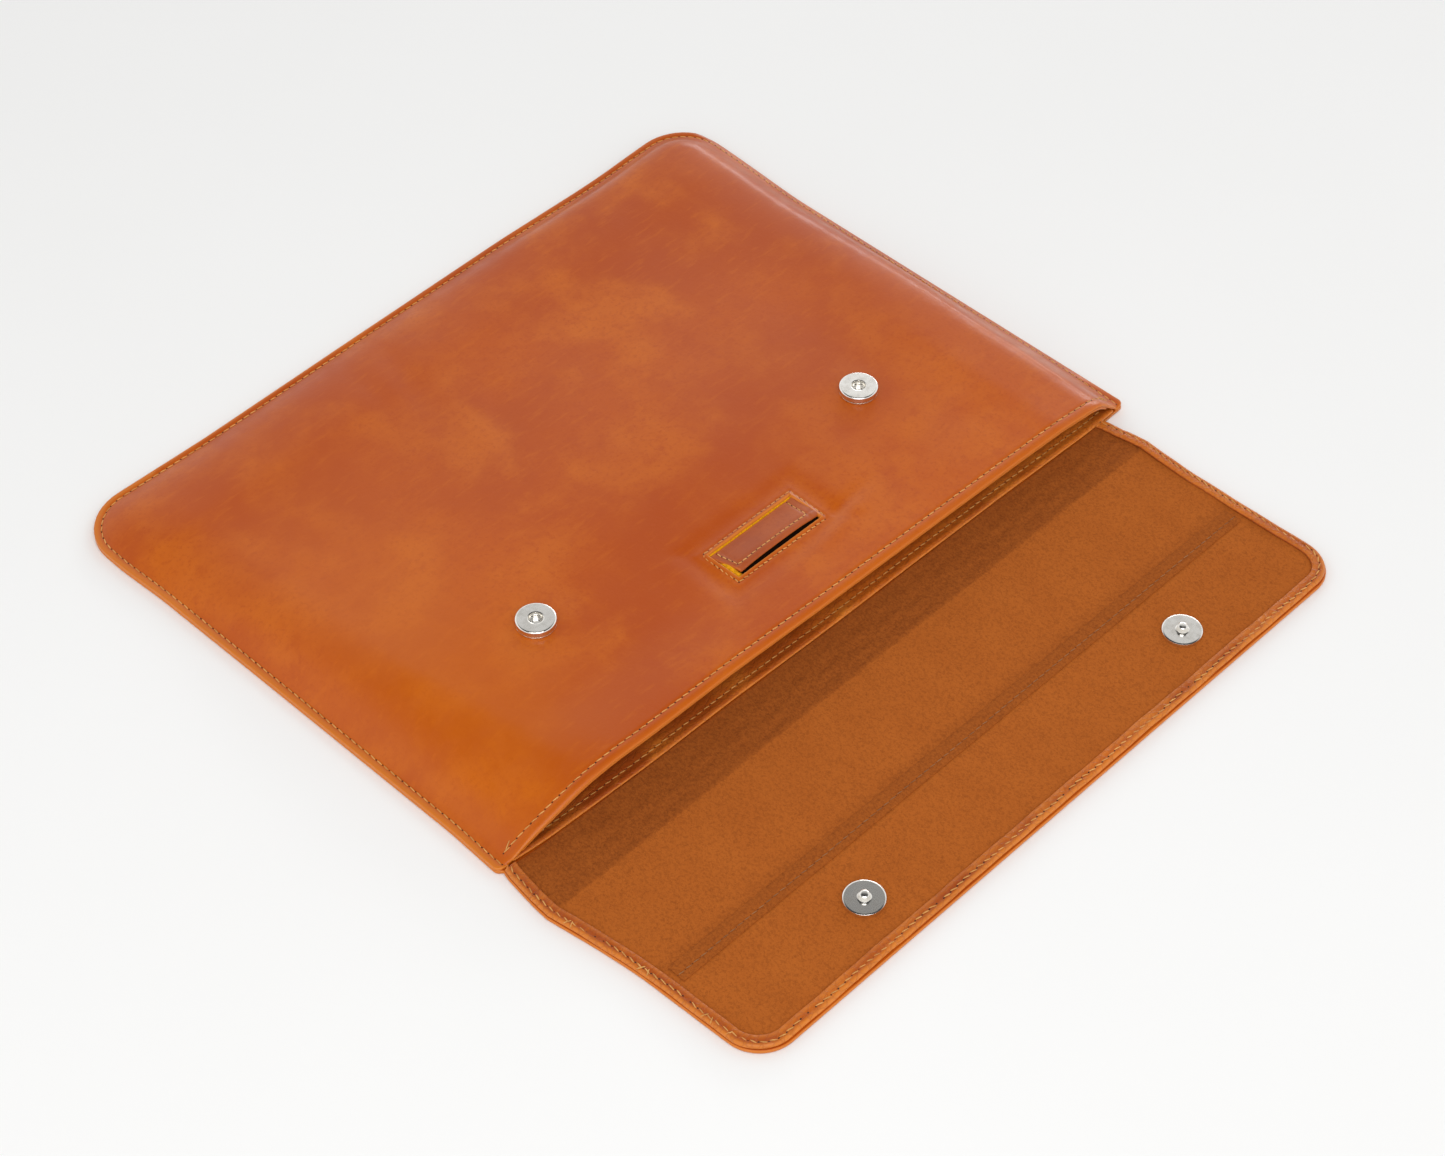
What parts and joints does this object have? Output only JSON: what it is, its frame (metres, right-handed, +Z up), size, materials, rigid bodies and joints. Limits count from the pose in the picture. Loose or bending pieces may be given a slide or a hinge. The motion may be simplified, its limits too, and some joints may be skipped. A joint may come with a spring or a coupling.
{
  "type": "laptop sleeve",
  "caption": "Tan leather laptop sleeve lying flat, suede-lined fold-over flap opened out, magnetic snaps and a tuck keeper by the mouth.",
  "frame": {"origin": "centre of the footprint with the flap opened out, on the surface it lies on", "axes": "+X along the mouth, +Y from the mouth to the closed edge, +Z up through the front panel"},
  "size_m": [0.39, 0.4266, 0.023],
  "materials": {
    "tan_leather": "polished, pull-up tan with darker edges",
    "tan_suede": "napped suede",
    "mustard_suede": "napped suede",
    "waxed_thread": "waxed polyester",
    "nickel_plate": "polished nickel",
    "ferrite_magnet": "sintered, dull",
    "steel_washer": "stamped"
  },
  "bodies": {
    "sleeve": {"back_panel": "tan_leather", "back_lining": "tan_suede", "back_mouth_facing": "tan_leather", "back_mouth_stitching": "waxed_thread", "front_panel": "tan_leather", "front_lining": "tan_suede", "front_mouth_facing": "tan_leather", "front_mouth_stitching": "waxed_thread", "perimeter_stitching": "waxed_thread", "keeper_backing": "mustard_suede", "keeper_patch": "tan_leather", "keeper_window_stitching": "waxed_thread", "keeper_patch_stitching": "waxed_thread", "left_socket_base": "nickel_plate", "left_socket_cap": "nickel_plate", "left_socket_magnet": "ferrite_magnet", "left_socket_washer": "steel_washer", "right_socket_base": "nickel_plate", "right_socket_cap": "nickel_plate", "right_socket_magnet": "ferrite_magnet", "right_socket_washer": "steel_washer"},
    "spine": {"spine_leather": "tan_leather", "spine_lining": "tan_suede", "left_spine_border": "tan_leather", "right_spine_border": "tan_leather", "left_spine_stitching": "waxed_thread", "right_spine_stitching": "waxed_thread"},
    "flap": {"flap_leather": "tan_leather", "flap_lining": "tan_suede", "flap_border": "tan_leather", "flap_border_stitching": "waxed_thread", "flap_tape": "tan_suede", "flap_tape_stitching": "waxed_thread", "left_stud": "nickel_plate", "left_stud_washer": "steel_washer", "right_stud": "nickel_plate", "right_stud_washer": "steel_washer"}
  },
  "joints": [
    {"name": "mouth_fold", "type": "hinge", "parent": "sleeve", "child": "spine", "pos_m": [0, -0.08145, 0.0031], "axis": [-1, 0, 0], "range_deg": [0, 90]},
    {"name": "crease_fold", "type": "hinge", "parent": "spine", "child": "flap", "pos_m": [0, -0.10335, 0.0031], "axis": [-1, 0, 0], "range_deg": [0, 90]}
  ]
}
